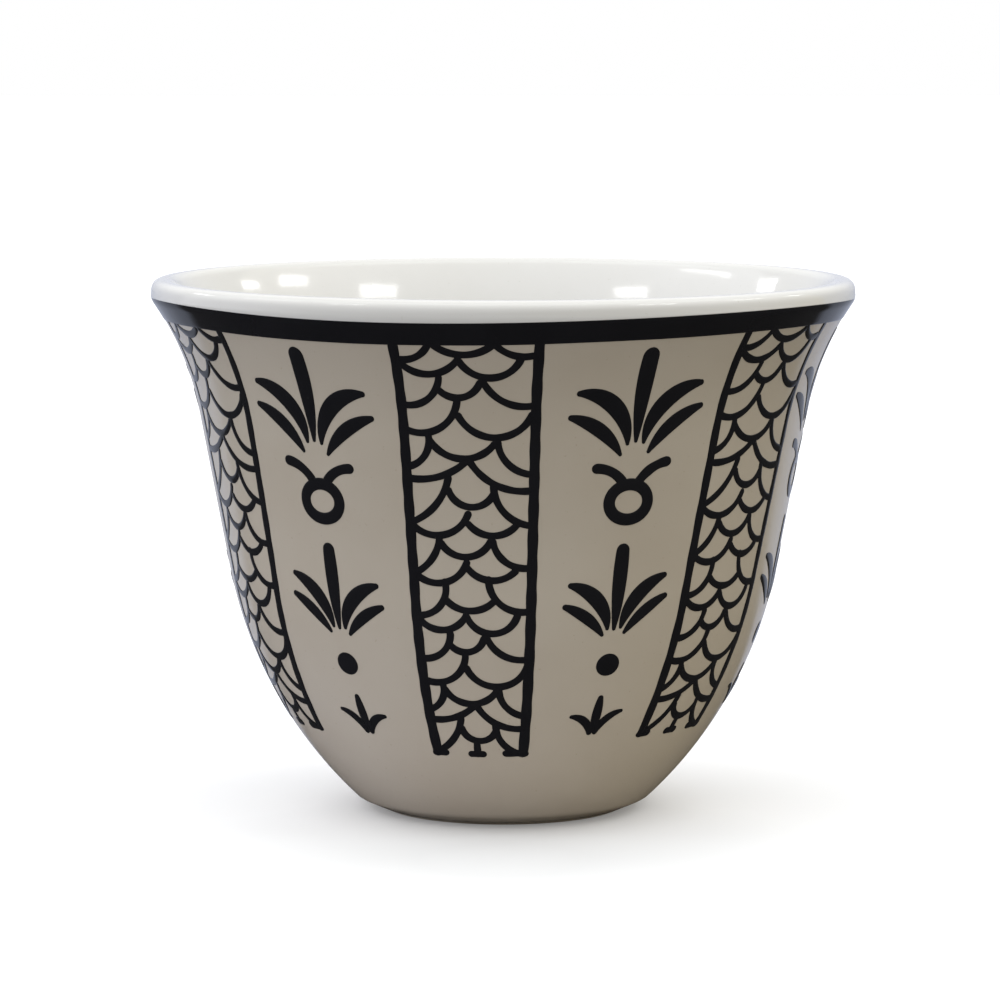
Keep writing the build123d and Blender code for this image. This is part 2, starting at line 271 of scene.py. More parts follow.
def inside(depth):
    """The inside from the axis along the floor, up its rounding and up the wall to the lip."""
    radius = BOWL_FLOOR_ROUND + WALL - depth
    leans = np.linspace(90.0, BOWL_FLOOR_LEAN, BOWL_FLOOR_POINTS)
    rounding = BOWL_FLOOR_CENTRE + outward(leans) * radius
    return np.concatenate([[[0.0, rounding[0, 1]]], rounding, side(depth, BOWL_FLOOR_LEAN)])


def lip(depth):
    """The lip's half circle from its inner root (0 degrees) over the crest to its outer root (180)."""
    turn = np.radians(np.linspace(0.0, 180.0, LIP_POINTS))[:, None]
    across = -np.cos(turn) * outward(LIP_LEAN) + np.sin(turn) * upward(LIP_LEAN)
    return LIP_CENTRE + across * (WALL / 2 - depth)


OUTLINE = even(side(0.0, FOOT_LEAN), OUTLINE_STEP)
OUTLINE_LEAN = np.degrees(np.arctan2(*np.gradient(OUTLINE, axis=0).T))


def wander(angles, size):
    """A slow hand-made wobble around the cup: a sum of sines, each smaller the faster it is."""
    phases = rng.uniform(0.0, 2 * pi, len(WANDER_TURNS))
    return size * sum(np.sin(k * angles + p) / sqrt(k) for k, p in zip(WANDER_TURNS, phases))


def new_piece(name, points, faces, finish, slot, nodes, sharp=None):
    """Makes one mesh piece from points in millimetres, with its faces turned outwards as a whole.

    They are turned round where the volume that they enclose, a sum of a . (b x c), is negative.
    """
    points = np.asarray(points, float) * MM
    mesh = bpy.data.meshes.new(name)
    mesh.from_pydata(points.tolist(), [], faces)
    mesh.calc_loop_triangles()
    corners = np.empty(len(mesh.loop_triangles) * 3, np.int32)
    mesh.loop_triangles.foreach_get("vertices", corners)
    a, b, c = (points - points.mean(axis=0))[corners.reshape(-1, 3)].transpose(1, 0, 2)
    if np.einsum("ij,ij->", a, np.cross(b, c)) < 0:
        mesh.flip_normals()
    mesh.polygons.foreach_set("use_smooth", np.ones(len(mesh.polygons), bool))
    if sharp is not None:
        mesh.set_sharp_from_angle(angle=radians(sharp))
    mesh.materials.append(finish)
    mesh.validate()
    piece = bpy.data.objects.new(name, mesh)
    bpy.context.scene.collection.objects.link(piece)
    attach(piece, "root")
    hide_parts(*nodes)


def grid_faces(rows, columns, wrap_rows, start=0):
    """Quads between the points of a grid; columns always close on themselves, rows only on request."""
    i = np.arange(rows if wrap_rows else rows - 1)[:, None]
    j = np.arange(columns)[None, :]
    below, beside = (i + 1) % rows, (j + 1) % columns
    quads = np.stack([
        i * columns + j, i * columns + beside, below * columns + beside, below * columns + j,
    ], axis=-1)
    return [tuple(quad) for quad in (quads.reshape(-1, 4) + start).tolist()]


ANGLES = np.arange(AROUND) * 2 * pi / AROUND


def all_round(profile):
    """The same (radius, height) profile at every angle around the cup."""
    return np.repeat(np.asarray(profile, float)[:, None], AROUND, axis=1)


def turned(profile, closed):
    """Turns a profile about Z: x = r cos a, y = r sin a, with a pole at each open end.

    The profile is a row of (radius, height) points, or such a row for every angle around the cup.
    """
    profile = np.asarray(profile)
    profile = all_round(profile) if profile.ndim == 2 else profile
    rings = profile if closed else profile[1:-1]
    points = np.stack([
        rings[..., 0] * np.cos(ANGLES), rings[..., 0] * np.sin(ANGLES), rings[..., 1],
    ], axis=-1).reshape(-1, 3)
    faces = grid_faces(len(rings), AROUND, closed)
    if not closed:
        poles = len(points) + np.arange(2)
        ends = [[0.0, 0.0, profile[0, 0, 1]], [0.0, 0.0, profile[-1, 0, 1]]]
        points = np.concatenate([points, ends])
        last = (len(rings) - 1) * AROUND
        j = np.arange(AROUND)
        beside = (j + 1) % AROUND
        first_fan = np.stack([np.full(AROUND, poles[0]), beside, j], axis=-1)
        last_fan = np.stack([np.full(AROUND, poles[1]), last + j, last + beside], axis=-1)
        faces += [tuple(face) for face in np.concatenate([first_fan, last_fan]).tolist()]
    return points, faces


# Materials: scales of the noises, and between which of their values one colour passes into the next
SPECK_SCALE = 2600.0
SPECK_RANGE = (0.70, 0.78)
CLOUD_RANGE = (0.34, 0.66)
GLOSS_RANGE = (0.3, 0.7)
SKIN_SCALE = 420.0
SKIN_DEPTH = 0.0002
STAIN_SCALE = 120.0
STAIN_RANGE = (0.35, 0.68)
GRAIN_SCALE = 1800.0
GRAIN_STRENGTH = 0.35
GRAIN_DEPTH = 0.0003
CLAY_ROUGHNESS = 0.75
BLACK = (0.0, 0.0, 0.0)
WHITE = (1.0, 1.0, 1.0)


def node_tools(tree):
    """A helper that adds a node with its settings and wires or sets its inputs, and the links."""

    def add(kind, inputs=(), **settings):
        node = tree.nodes.new(kind)
        for key, value in settings.items():
            setattr(node, key, value)
        for socket, value in dict(inputs).items():
            if isinstance(value, bpy.types.NodeSocket):
                tree.links.new(value, node.inputs[socket])
            else:
                node.inputs[socket].default_value = value
        return node

    return add, tree.links


def new_finish(name):
    """A material with only the Principled shader, and the tools to build on it."""
    finish = bpy.data.materials.new(name)
    finish.use_nodes = True
    return finish, finish.node_tree.nodes["Principled BSDF"], *node_tools(finish.node_tree)


def ramp(add, value, low, high, low_colour, high_colour):
    """A colour ramp from one colour to another between two values."""
    node = add("ShaderNodeValToRGB", {"Fac": value})
    first, last = node.color_ramp.elements
    first.position, first.color = low, (*low_colour, 1.0)
    last.position, last.color = high, (*high_colour, 1.0)
    return node.outputs["Color"]


def noise(add, place, scale, detail):
    """Values of a noise in space, with this many waves to a metre and so many finer layers on them."""
    return add("ShaderNodeTexNoise", {"Vector": place, "Scale": scale, "Detail": detail}).outputs["Fac"]


def glazed(name, colour, shade, speck, roughness, rough_spread, cloud_scale, bump, ior=1.5):
    """Fired glaze: a cloudy colour, pinhead specks, uneven gloss and a faint orange-peel skin."""
    finish, shader, add, links = new_finish(name)
    place = add("ShaderNodeTexCoord").outputs["Object"]
    clouds = noise(add, place, cloud_scale, detail=4.0)
    specks = noise(add, place, SPECK_SCALE, detail=2.0)
    skin = noise(add, place, SKIN_SCALE, detail=3.0)
    body = ramp(add, clouds, *CLOUD_RANGE, shade, colour)
    dots = ramp(add, specks, *SPECK_RANGE, BLACK, WHITE)
    mixed = add("ShaderNodeMix", {"Factor": dots, "A": body, "B": (*speck, 1.0)}, data_type="RGBA")
    gloss = add("ShaderNodeMapRange", {
        "Value": clouds, "From Min": GLOSS_RANGE[0], "From Max": GLOSS_RANGE[1],
        "To Min": roughness - rough_spread, "To Max": roughness + rough_spread,
    }).outputs["Result"]
    dents = add("ShaderNodeBump", {"Height": skin, "Strength": bump, "Distance": SKIN_DEPTH})
    links.new(mixed.outputs["Result"], shader.inputs["Base Color"])
    links.new(gloss, shader.inputs["Roughness"])
    links.new(dents.outputs["Normal"], shader.inputs["Normal"])
    shader.inputs["IOR"].default_value = ior
    return finish


def srgb(*colour):
    """Linear values of a colour written as 0 to 255 screen values, by the sRGB standard."""
    value = np.asarray(colour) / 255.0
    linear = np.where(value <= 0.04045, value / 12.92, ((value + 0.055) / 1.055) ** 2.4)
    return tuple(linear.tolist())


white_glaze = glazed(
    "white_glaze", colour=srgb(210, 210, 209), shade=srgb(207, 207, 205), speck=srgb(199, 199, 195),
    roughness=0.09, rough_spread=0.01, cloud_scale=45.0, bump=0.03,
)
cream_glaze = glazed(
    "cream_glaze", colour=srgb(181, 173, 160), shade=srgb(176, 167, 153), speck=srgb(168, 159, 144),
    roughness=0.18, rough_spread=0.01, cloud_scale=60.0, bump=0.03,
)
black_enamel = glazed(
    "black_enamel", colour=srgb(26, 26, 29), shade=srgb(23, 23, 26), speck=srgb(31, 31, 33),
    roughness=0.08, rough_spread=0.01, cloud_scale=160.0, bump=0.04, ior=1.22,
)


def fired_clay():
    """Unglazed porcelain on the foot ring: matt, grainy and a little stained."""
    finish, shader, add, links = new_finish("bare_porcelain")
    place = add("ShaderNodeTexCoord").outputs["Object"]
    grain = noise(add, place, GRAIN_SCALE, detail=5.0)
    stain = noise(add, place, STAIN_SCALE, detail=3.0)
    body = ramp(add, stain, *STAIN_RANGE, srgb(186, 174, 156), srgb(214, 206, 192))
    dents = add("ShaderNodeBump", {
        "Height": grain, "Strength": GRAIN_STRENGTH, "Distance": GRAIN_DEPTH,
    })
    links.new(body, shader.inputs["Base Color"])
    links.new(dents.outputs["Normal"], shader.inputs["Normal"])
    shader.inputs["Roughness"].default_value = CLAY_ROUGHNESS
    return finish


bare_porcelain = fired_clay()

# The turned pieces


def porcelain_body():
    """The fired body, turned from its whole outline; only the foot ring shows below the glaze."""
    ceiling = RECESS_DEPTH + GLAZE
    turn = np.radians(np.linspace(0.0, 90.0, ROUND_POINTS))
    inner_centre = np.array([RECESS_RADIUS + FOOT_EDGE_ROUND, FOOT_EDGE_ROUND])
    inner_round = inner_centre - FOOT_EDGE_ROUND * np.stack([np.sin(turn), np.cos(turn)], axis=-1)
    slope = outward(FOOT_SIDE_LEAN)
    outer_run = FOOT_EDGE_ROUND * np.tan(radians((90.0 - FOOT_SIDE_LEAN) / 2))
    outer_centre = FOOT_OUTER + np.array([-outer_run, FOOT_EDGE_ROUND])
    outer_leans = np.linspace(FOOT_SIDE_LEAN, 90.0, ROUND_POINTS)
    outer_round = outer_centre + outward(outer_leans) * FOOT_EDGE_ROUND
    profile = np.concatenate([
        even(inside(WALL - GLAZE), BODY_STEP),
        lip(GLAZE)[1:-1],
        even(side(GLAZE, FOOT_LEAN)[::-1], BODY_STEP),
        [GLAZE_END - slope * GLAZE, GLAZE_END],
        outer_round,
        inner_round[::-1],
        [[RECESS_RADIUS, ceiling], [0.0, ceiling]],
    ])
    new_piece("fired_body", *turned(profile, False), bare_porcelain, "bare_porcelain",
              ["porcelain_body"], sharp=BODY_SHARP)


LIP_ROLL = 0.06  # the white glaze gathers to this height along its lower edge
LIP_SQUARE = 2.8  # the lip's section is a little squarer than a circle, which has 2
ROLL_ABOVE = 0.8  # from that edge up the lip, where the gathering starts
ROLL_BELOW = 0.06  # and down over the band, where it ends


def waved(waves):
    """Height of the waves around the cup: a sum of cosines of the angle from the front."""
    from_front = np.degrees(ANGLES) + 90.0
    return sum(size * np.cos(np.radians(turns * from_front - crest)) for turns, size, crest in waves)


# The white glaze ends and the band starts this far up the wall from the lip's root, around the cup
LIP_EDGE = BAND_TOP_RAISED + waved(BAND_TOP_WAVES)
# Waves of the band's lower edge, counted around the cup from its front
BAND_FOOT_WAVES = np.roll(waved(BAND_WAVES), AROUND // 4)


def squared_lip(turn, rise):
    """Points of the lip at an angle up from level: a circle, but a superellipse above and outside."""
    corner = np.radians(np.clip(turn, 0.0, 90.0))
    powers = np.cos(corner) ** LIP_SQUARE + np.sin(corner) ** LIP_SQUARE
    reach = WALL / 2 / powers ** (1 / LIP_SQUARE)
    return LIP_CENTRE + outward(-turn) * (reach + rise)[..., None]


def under_lip(up, rise):
    """Points this far up the wall from the lip's root, on the flare below it and on the lip above."""
    on_wall = flare(-rise, LIP_LEAN + np.degrees(up / FLARE_RADIUS))
    on_lip = squared_lip(np.degrees(up / (WALL / 2)) - LIP_LEAN, rise)
    return np.where(up[..., None] > 0, on_lip, on_wall)


def white_lining():
    """White glaze: floor, wall and lip, gathered to a soft edge along the top of the black band."""
    crest_end = ROLL_ABOVE + LIP_EDGE.max()
    over_turn = np.linspace(180.0, degrees(crest_end / (WALL / 2)), CREST_POINTS) - LIP_LEAN
    over = squared_lip(over_turn, np.zeros(CREST_POINTS))
    share = np.linspace(0.0, 1.0, GATHER_POINTS)[1:, None]
    up = crest_end + (LIP_EDGE - crest_end) * share
    gathered = LIP_ROLL * np.clip(1.0 - (up - LIP_EDGE) / ROLL_ABOVE, 0.0, 1.0) ** 2
    turn = np.linspace(0.0, pi / 2, ROUND_POINTS)[1:, None]
    hem_up = LIP_EDGE - ROLL_BELOW * np.sin(turn)
    hem_rise = LIP_ROLL * np.cos(turn) - SUNK * np.sin(turn)
    under = np.concatenate([lip(GLAZE)[::-1], inside(WALL - GLAZE)[::-1]])
    profile = np.concatenate([
        all_round(even(inside(WALL))),
        all_round(even(over, LIP_STEP)[1:]),
        under_lip(up, gathered),
        under_lip(hem_up, np.broadcast_to(hem_rise, hem_up.shape)),
        all_round(even(under, UNDERSIDE_STEP)),
    ])
    new_piece("white_lining", *turned(profile, False), white_glaze, "white_glaze",
              ["interior_glaze"], sharp=COAT_SHARP)


def cream_coat():
    """Cream glaze outside: an even coat, its lower edge half an ellipse above the bare foot."""
    foot_line = np.linspace(FOOT_TOP, GLAZE_END, HEM_POINTS)[1:]
    slope = outward(FOOT_SIDE_LEAN)
    turn = np.linspace(0.0, pi, HEM_POINTS)[1:-1, None]
    hem = (
        GLAZE_END - slope * GLAZE / 2 + slope * np.cos(turn) * GLAZE / 2
        - upward(FOOT_SIDE_LEAN) * np.sin(turn) * HEM_DROP
    )
    outer = np.concatenate([side(0.0, FOOT_LEAN)[::-1], foot_line])
    inner = np.concatenate([[GLAZE_END - slope * GLAZE], side(GLAZE, FOOT_LEAN)])
    profile = np.concatenate([even(outer), hem, even(inner, UNDERSIDE_STEP)])
    new_piece("cream_coat", *turned(profile, True), cream_glaze, "cream_glaze",
              ["exterior_glaze"], sharp=COAT_SHARP)


def base_coat():
    """Glaze in the hollow of the foot: flat, and drawn down its wall by a quarter circle."""
    turn = np.linspace(0.0, pi / 2, HEM_POINTS)
    curve = np.stack([
        RECESS_RADIUS - POOL_ROUND + POOL_ROUND * np.sin(turn),
        RECESS_DEPTH - POOL_ROUND * (1.0 - np.cos(turn)),
    ], axis=-1)
    flat = [[POOL_START, RECESS_DEPTH], [RECESS_RADIUS - POOL_ROUND, RECESS_DEPTH]]
    profile = np.concatenate([
        [[0.0, RECESS_DEPTH]],
        even(flat, POOL_STEP),
        curve[1:],
        [[RECESS_RADIUS, RECESS_DEPTH + GLAZE], [0.0, RECESS_DEPTH + GLAZE]],
    ])
    new_piece("base_coat", *turned(profile, False), white_glaze, "white_glaze",
              ["base_glaze"], sharp=POOL_SHARP)


def black_band():
    """The band under the lip: across it a flat dome, around it edges that wander as a brush does."""
    turn = np.linspace(0.0, pi, BAND_POINTS)
    across = np.concatenate([-np.cos(turn), [BAND_UNDERSIDE, -BAND_UNDERSIDE]])
    dome = np.concatenate([BAND_RISE * np.sin(turn) ** BAND_FLATNESS, [-SUNK, -SUNK]])
    low = BAND_RAISED - BAND_WIDTH + waved(BAND_WAVES) + wander(ANGLES, BAND_WANDER)
    up = (low + LIP_EDGE)[None] / 2 + across[:, None] * (LIP_EDGE - low)[None] / 2
    profile = under_lip(up, np.broadcast_to(dome[:, None], up.shape))
    new_piece("black_band", *turned(profile, True), black_enamel, "black_enamel", ["rim_band"])


# The raised ornament. The pattern's drops are stretched to the wall from the band to the foot.
FLARE_RUN = FLARE_RADIUS * radians(BAND_LEAN - WALL_LEAN)
STRAIGHT_RUN = float(np.linalg.norm(STRAIGHT_TOP - STRAIGHT_FOOT))
BELLY_RUN = BOWL_RADIUS * radians(FOOT_LEAN - WALL_LEAN)
STRETCH = (FLARE_RUN + STRAIGHT_RUN + BELLY_RUN) / PATTERN_LENGTH
WALL_LINE = even(side(0.0, FOOT_LEAN)[::-1], WALL_STEP)
WALL_STEPS = np.linalg.norm(np.diff(WALL_LINE, axis=0), axis=1)
WALL_DROP = np.concatenate([[0.0], np.cumsum(WALL_STEPS)]) - BAND_WIDTH


def drawn(points):
    """Pattern points as seen square to the motif's middle: across = radius * sin(angle), and height."""
    angle, drop = np.asarray(points, float).T
    radius = np.interp(drop * STRETCH, WALL_DROP, WALL_LINE[:, 0])
    height = np.interp(drop * STRETCH, WALL_DROP, WALL_LINE[:, 1])
    return np.stack([radius * np.sin(np.radians(angle)), height], axis=-1)


def strayed(points, stray):
    """Pattern points moved round and up the cup as far as their motif strays."""
    shift, lean, rise_at_band, rise_at_foot, tilt, bend = stray
    angle, drop = np.asarray(points, float).T
    share = drop / PATTERN_LENGTH
    rise = rise_at_band + (rise_at_foot - rise_at_band) * share + tilt * angle
    turned_by = shift + lean * (share - LEAN_PIVOT) + bend * share**BEND_POWER
    return np.stack([angle + turned_by, drop - rise], axis=-1)


def arc(points, stray):
    """The circle arc through three points, or the line through two, at even steps."""
    places = drawn(strayed(points, stray))
    if len(places) == 2:
        return even(places, STROKE_STEP)
    a, b, c = places[:, 0] + 1j * places[:, 1]
    bend = (c - a) / (b - a)
    centre = a + (b - a) * (bend - abs(bend) ** 2) / (2j * bend.imag)
    spread = np.unwrap(np.angle(np.array([a, b, c]) - centre))
    turns = np.linspace(spread[0], spread[2], LINE_POINTS)
    line = centre + abs(a - centre) * np.exp(1j * turns)
    return even(np.stack([line.real, line.imag], axis=-1), STROKE_STEP)


def end_cap(end, way, half_width):
    """Points and half widths that round a stroke's end off as a half circle."""
    turn = np.linspace(0.0, radians(CAP_ANGLE), CAP_POINTS)[1:]
    return end + way * (half_width * np.sin(turn))[:, None], half_width * np.cos(turn)


def piped(line, width):
    """A line of even width with two round ends, and a hand's small swelling along it: 1 + share * sine.

    Gives the line's points, and the half width and the share of the dome's height at each.
    """
    half = width / 2
    steps = np.diff(line, axis=0)
    head, head_width = end_cap(line[0], -steps[0] / np.linalg.norm(steps[0]), half)
    tail, tail_width = end_cap(line[-1], steps[-1] / np.linalg.norm(steps[-1]), half)
    along = np.arange(len(line)) * STROKE_STEP
    swell = 1.0 + SWELL * np.sin(along * rng.uniform(*SWELL_PACE) + rng.uniform(*SWELL_START))
    widths = np.concatenate([head_width[::-1], half * swell, tail_width])
    heights = np.minimum(widths / half, 1.0) ** STROKE_FLATNESS
    return np.concatenate([head[::-1], line, tail]), widths, heights


def leaf(points, belly_width, tip_width, stray, base):
    """A leaf on its midrib: half width is the parabola through base, belly and tip, with round ends.

    Gives the midrib's points, and the half width and the share of the dome's height at each.
    """
    line = arc(points, stray)
    share = np.linspace(0.0, 1.0, len(line))
    broad, tip = belly_width / 2, tip_width / 2
    width = (
        base * (share - BELLY_SHARE) * (share - 1) / BELLY_SHARE
        + broad * share * (share - 1) / (BELLY_SHARE * (BELLY_SHARE - 1))
        + tip * share * (share - BELLY_SHARE) / (1 - BELLY_SHARE)
    )
    steps = np.diff(line, axis=0)
    head, head_width = end_cap(line[0], -steps[0] / np.linalg.norm(steps[0]), base)
    cap, cap_width = end_cap(line[-1], steps[-1] / np.linalg.norm(steps[-1]), tip)
    widths = np.concatenate([head_width[::-1], width, cap_width])
    heights = np.sqrt(np.clip(widths / widths.max(), LEAF_THINNEST, 1.0))
    return np.concatenate([head[::-1], line, cap]), widths, heights


def spot(middle, half_width, half_height, stray):
    """A round dot as a short upright line whose width follows an ellipse."""
    turn = np.linspace(radians(-CAP_ANGLE), radians(CAP_ANGLE), BEAD_POINTS)
    across, height = drawn(strayed([middle], stray))[0]
    line = np.stack([np.full(BEAD_POINTS, across), height + half_height * np.sin(turn)], axis=-1)
    return line, half_width * np.cos(turn), np.cos(turn)


DOME = np.linspace(0.0, pi, DOME_POINTS)
SECTION_ACROSS = np.concatenate([-np.cos(DOME), [STROKE_UNDERSIDE, -STROKE_UNDERSIDE]])
SECTION_RISE = np.concatenate([np.sin(DOME) ** STROKE_FLATNESS, [0.0, 0.0]])
SECTION_SUNK = np.concatenate([np.zeros(DOME_POINTS), [SUNK, SUNK]])
SECTION_SUNK[[0, DOME_POINTS - 1]] = SUNK / 2


def raised(line, widths, heights, rise, closed=False):
    """A low dome carried along a line on the wall, as (angle, radius, height).

    Across the line the section is a power of the sine over a flat underside sunk into the glaze.
    Each section point moves sideways along the line's normal and out along the wall's normal.
    """
    if closed:
        way = np.roll(line, -1, axis=0) - np.roll(line, 1, axis=0)
    else:
        way = np.gradient(line, axis=0)
    way /= np.linalg.norm(way, axis=1, keepdims=True)
    normal = np.stack([-way[:, 1], way[:, 0]], axis=-1)
    flat = line[:, None] + normal[:, None] * (SECTION_ACROSS[None] * widths[:, None])[..., None]
    lift = rise * heights[:, None] * SECTION_RISE[None] - SECTION_SUNK[None]
    radius = np.interp(flat[..., 1], OUTLINE[:, 1], OUTLINE[:, 0])
    lean = np.interp(flat[..., 1], OUTLINE[:, 1], OUTLINE_LEAN)
    step = outward(lean) * lift[..., None]
    angle = np.arcsin(np.clip(flat[..., 0] / radius, -1.0, 1.0))
    return np.stack([angle, radius + step[..., 0], flat[..., 1] + step[..., 1]], axis=-1)


def motif(name, turn, strokes, nodes):
    """Joins raised strokes into one piece, turned about the axis to its place around the cup."""
    points, faces, count = [], [], 0
    section = len(SECTION_ACROSS)
    for grid, closed in strokes:
        angle = grid[..., 0] + radians(turn)
        points.append(np.stack([
            grid[..., 1] * np.sin(angle), -grid[..., 1] * np.cos(angle), grid[..., 2],
        ], axis=-1).reshape(-1, 3))
        faces += grid_faces(len(grid), section, closed, count)
        if not closed:
            last = count + (len(grid) - 1) * section
            faces.append(tuple(range(count + section - 1, count - 1, -1)))
            faces.append(tuple(range(last, last + section)))
        count += len(grid) * section
    new_piece(name, np.concatenate(points), faces, black_enamel, "black_enamel", nodes)


def upright(sign, stray):
    """The middle of the bar at a panel's edge: that edge, moved in by half the bar's width."""
    drops = np.linspace(0.0, PANEL_END - UPRIGHT_WIDTH / 2, LINE_POINTS)
    edge = drawn(strayed([(sign * PANEL_HALF_ANGLE, drop) for drop in drops], stray))
    return even(edge - [sign * UPRIGHT_WIDTH / 2, 0.0], STROKE_STEP)


def mirrored(points):
    """The same points on the other side of the motif's middle."""
    return [(-angle, drop) for angle, drop in points]


def below_band(line, turn):
    """Leaves off the part of a line that would run up over the band, whose lower edge is waved."""
    from_front = turn + np.degrees(np.arcsin(line[:, 0] / RIM_RADIUS))
    waves = np.append(BAND_FOOT_WAVES, BAND_FOOT_WAVES[0])
    wave = np.interp(from_front % 360.0, np.linspace(0.0, 360.0, AROUND + 1), waves)
    edge = flare(0.0, BAND_LEAN)[1] + BAND_RAISED + wave
    return line[line[:, 1] < edge]


def scale_panel(place):
    """A panel of scales: rows of arcs, the first of them repeated below, between two bars with feet."""
    stray = PANEL_STRAYS.get(place, EVEN_PLACE)
    rows = SCALE_ROWS + [
        [[(angle, SCALE_REPEAT + drop * REPEAT_SQUEEZE) for angle, drop in points] for points in row]
        for row in SCALE_ROWS[:ROWS_REPEATED]
    ]
    turn = FRONT_TURN + (place - 1) * 360 / PANELS
    lines = [below_band(arc(points, stray), turn) for row in rows for points in row]
    lines += [arc(points, stray) for points in PANEL_FEET]
    strokes = [piped(line, SCALE_STROKE) for line in lines if len(line) > 2]
    strokes += [piped(below_band(upright(sign, stray), turn), UPRIGHT_WIDTH) for sign in (-1, 1)]
    grids = [(raised(*stroke, LINE_RISE), False) for stroke in strokes]
    motif(f"scales_{place}", turn, grids, [f"scale_panel_{place}"])


def leaves(design, stray, base=LEAF_BASE):
    """Every leaf of a design, the side leaves on both sides."""
    both = [design[0]] + [one for side_leaf in design[1:] for one in (
        side_leaf, (mirrored(side_leaf[0]), *side_leaf[1:]),
    )]
    return [(raised(*leaf(*one, stray, base), LEAF_RISE), False) for one in both]


def ring_and_tendrils(stray):
    """A ring, which is a line closed to an ellipse, and the two tendrils that stand on it."""
    turn = np.linspace(0.0, 2 * pi, RING_POINTS, endpoint=False)
    middle = drawn(strayed([RING_MIDDLE], stray))[0]
    half = RING_STROKE / 2
    line = middle + np.stack([
        (RING_HALF_WIDTH - half) * np.cos(turn), (RING_HALF_HEIGHT - half) * np.sin(turn),
    ], axis=-1)
    ring = raised(line, np.full(RING_POINTS, half), np.ones(RING_POINTS), LEAF_RISE, closed=True)
    stems = [piped(arc(points, stray), TENDRIL_STROKE) for points in (TENDRIL, mirrored(TENDRIL))]
    return [(ring, True)] + [(raised(*stem, LINE_RISE), False) for stem in stems]


def palmette_column(place):
    """The motifs between two panels, each a piece of its own, from the band down to the sprout."""
    stray = COLUMN_STRAYS.get(place, EVEN_PLACE)
    turn = FRONT_TURN + (place - 0.5) * 360 / PANELS
    dot = raised(*spot(BEAD_MIDDLE, BEAD_HALF_WIDTH, BEAD_HALF_HEIGHT, stray), LEAF_RISE)
    for node, strokes in (
        ("large_palmette", leaves(LARGE_PALMETTE, stray)),
        ("ring_tendrils", ring_and_tendrils(stray)),
        ("small_palmette", leaves(SMALL_PALMETTE, stray)),
        ("bead", [(dot, False)]),
        ("sprout", leaves(SPROUT, stray, SPROUT_BASE)),
    ):
        motif(f"{node}_relief_{place}", turn, strokes, [f"{node}_{place}"])


porcelain_body()
white_lining()
cream_coat()
base_coat()
black_band()
for place in range(1, PANELS + 1):
    scale_panel(place)
    palmette_column(place)

# The stage: a pale floor, a white backdrop behind, a plain room around
BACKDROP_EDGE = (0.58, 0.62)  # the white backdrop ends at these cosines from straight behind
ROOM_LEFT = (1.03, 1.04, 1.15)  # the room's light level with the cup, to its left and right
ROOM_RIGHT = (0.56, 0.48, 0.30)
ROOM_HIGH = (2.45, 2.45, 2.41)  # and overhead
ROOM_FRONT = 0.52  # share of that light in the front of the room
ROOM_TURN = (0.3, 0.62)  # from left, 0, to right, 1, where the left light passes into the right
BACK_LOW = (0.60, 0.63, 0.74)  # the backdrop's light near the floor and higher up
BACK_HIGH = (1.0, 1.0, 1.0)
BACK_RISE = (0.1, 0.4)  # sines of the heights between which the one passes into the other
FLOOR_SIZE = 3.0  # half the floor's width
FLOOR_ROUGHNESS = 0.9
FLOOR_PAINTED_SHADOW = (0.62, 0.63, 0.645)  # painted shadow: the floor's colour for the camera, darker near a place before the foot
FLOOR_SEEN_FAR = (0.80, 0.81, 0.83)  # and away from it, outside that painted shadow
# Distances over which the painted shadow on the floor fades out, and its middle before the foot
PAINTED_SHADOW_REACH = (0.008, 0.034)
PAINTED_SHADOW_MIDDLE = (0.0, -0.030, 0.0)
FLOOR_NEAR_LEFT = (0.85, 0.87, 1.0)  # the floor's colour for soft light, close to the cup's sides
FLOOR_NEAR_RIGHT = (0.50, 0.45, 0.34)
FLOOR_FAR = 0.24  # further off
FLOOR_BEHIND = 0.5  # and further off behind the cup
FLOOR_REACH_NEAR = (0.035, 0.10)  # distances between which the near colour passes into the far one
MIRROR_FRONT = 0.05  # the floor's colour in the glaze's reflections, in front of the cup and behind it
MIRROR_BEHIND = (0.34, 0.37, 0.46)
MIRROR_EDGE = (0.55, 0.63)  # the part behind ends at these cosines
MIRROR_MIDDLE = (-0.007, 0.004, 0.0)  # and widens from here
GLOW = 0.16  # added for the camera alone, so that the open floor is white and the shadow stays


def behind_cup(add, place, edge):
    """1 straight behind the cup and 0 elsewhere, by the level direction of a vector, and its X."""
    level = add("ShaderNodeVectorMath", {0: place, 1: (1.0, 1.0, 0.0)}, operation="MULTIPLY")
    way = add("ShaderNodeVectorMath", {0: level.outputs["Vector"]}, operation="NORMALIZE")
    parts = add("ShaderNodeSeparateXYZ", {"Vector": way.outputs["Vector"]})
    mask = add("ShaderNodeMapRange", {
        "Value": parts.outputs["Y"], "From Min": edge[0], "From Max": edge[1],
    }).outputs["Result"]
    return mask, parts.outputs["X"]


